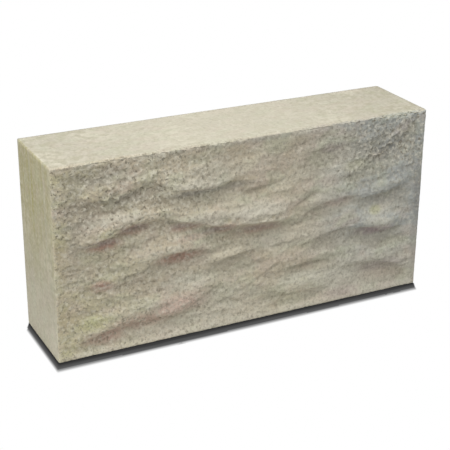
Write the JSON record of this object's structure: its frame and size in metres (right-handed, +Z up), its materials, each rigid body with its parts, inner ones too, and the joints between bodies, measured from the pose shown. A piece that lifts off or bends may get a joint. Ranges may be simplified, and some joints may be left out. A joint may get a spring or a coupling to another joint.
{
  "type": "rock-faced concrete block",
  "caption": "Solid concrete facing block with one long face cast as uneven split rock and the other faces plain.",
  "frame": {"origin": "middle of the block's footprint, on the lower bed", "axes": "+X along the block's length, +Y from the rock face to the plain back, +Z up from the lower bed to the upper bed"},
  "size_m": [0.39, 0.0936, 0.19],
  "materials": {
    "concrete": "dry cast concrete, pale buff, fine grained on the plain faces and coarse on the rock face, with reddish stain in the hollows"
  },
  "bodies": {
    "root": {"block": "concrete"}
  },
  "joints": []
}
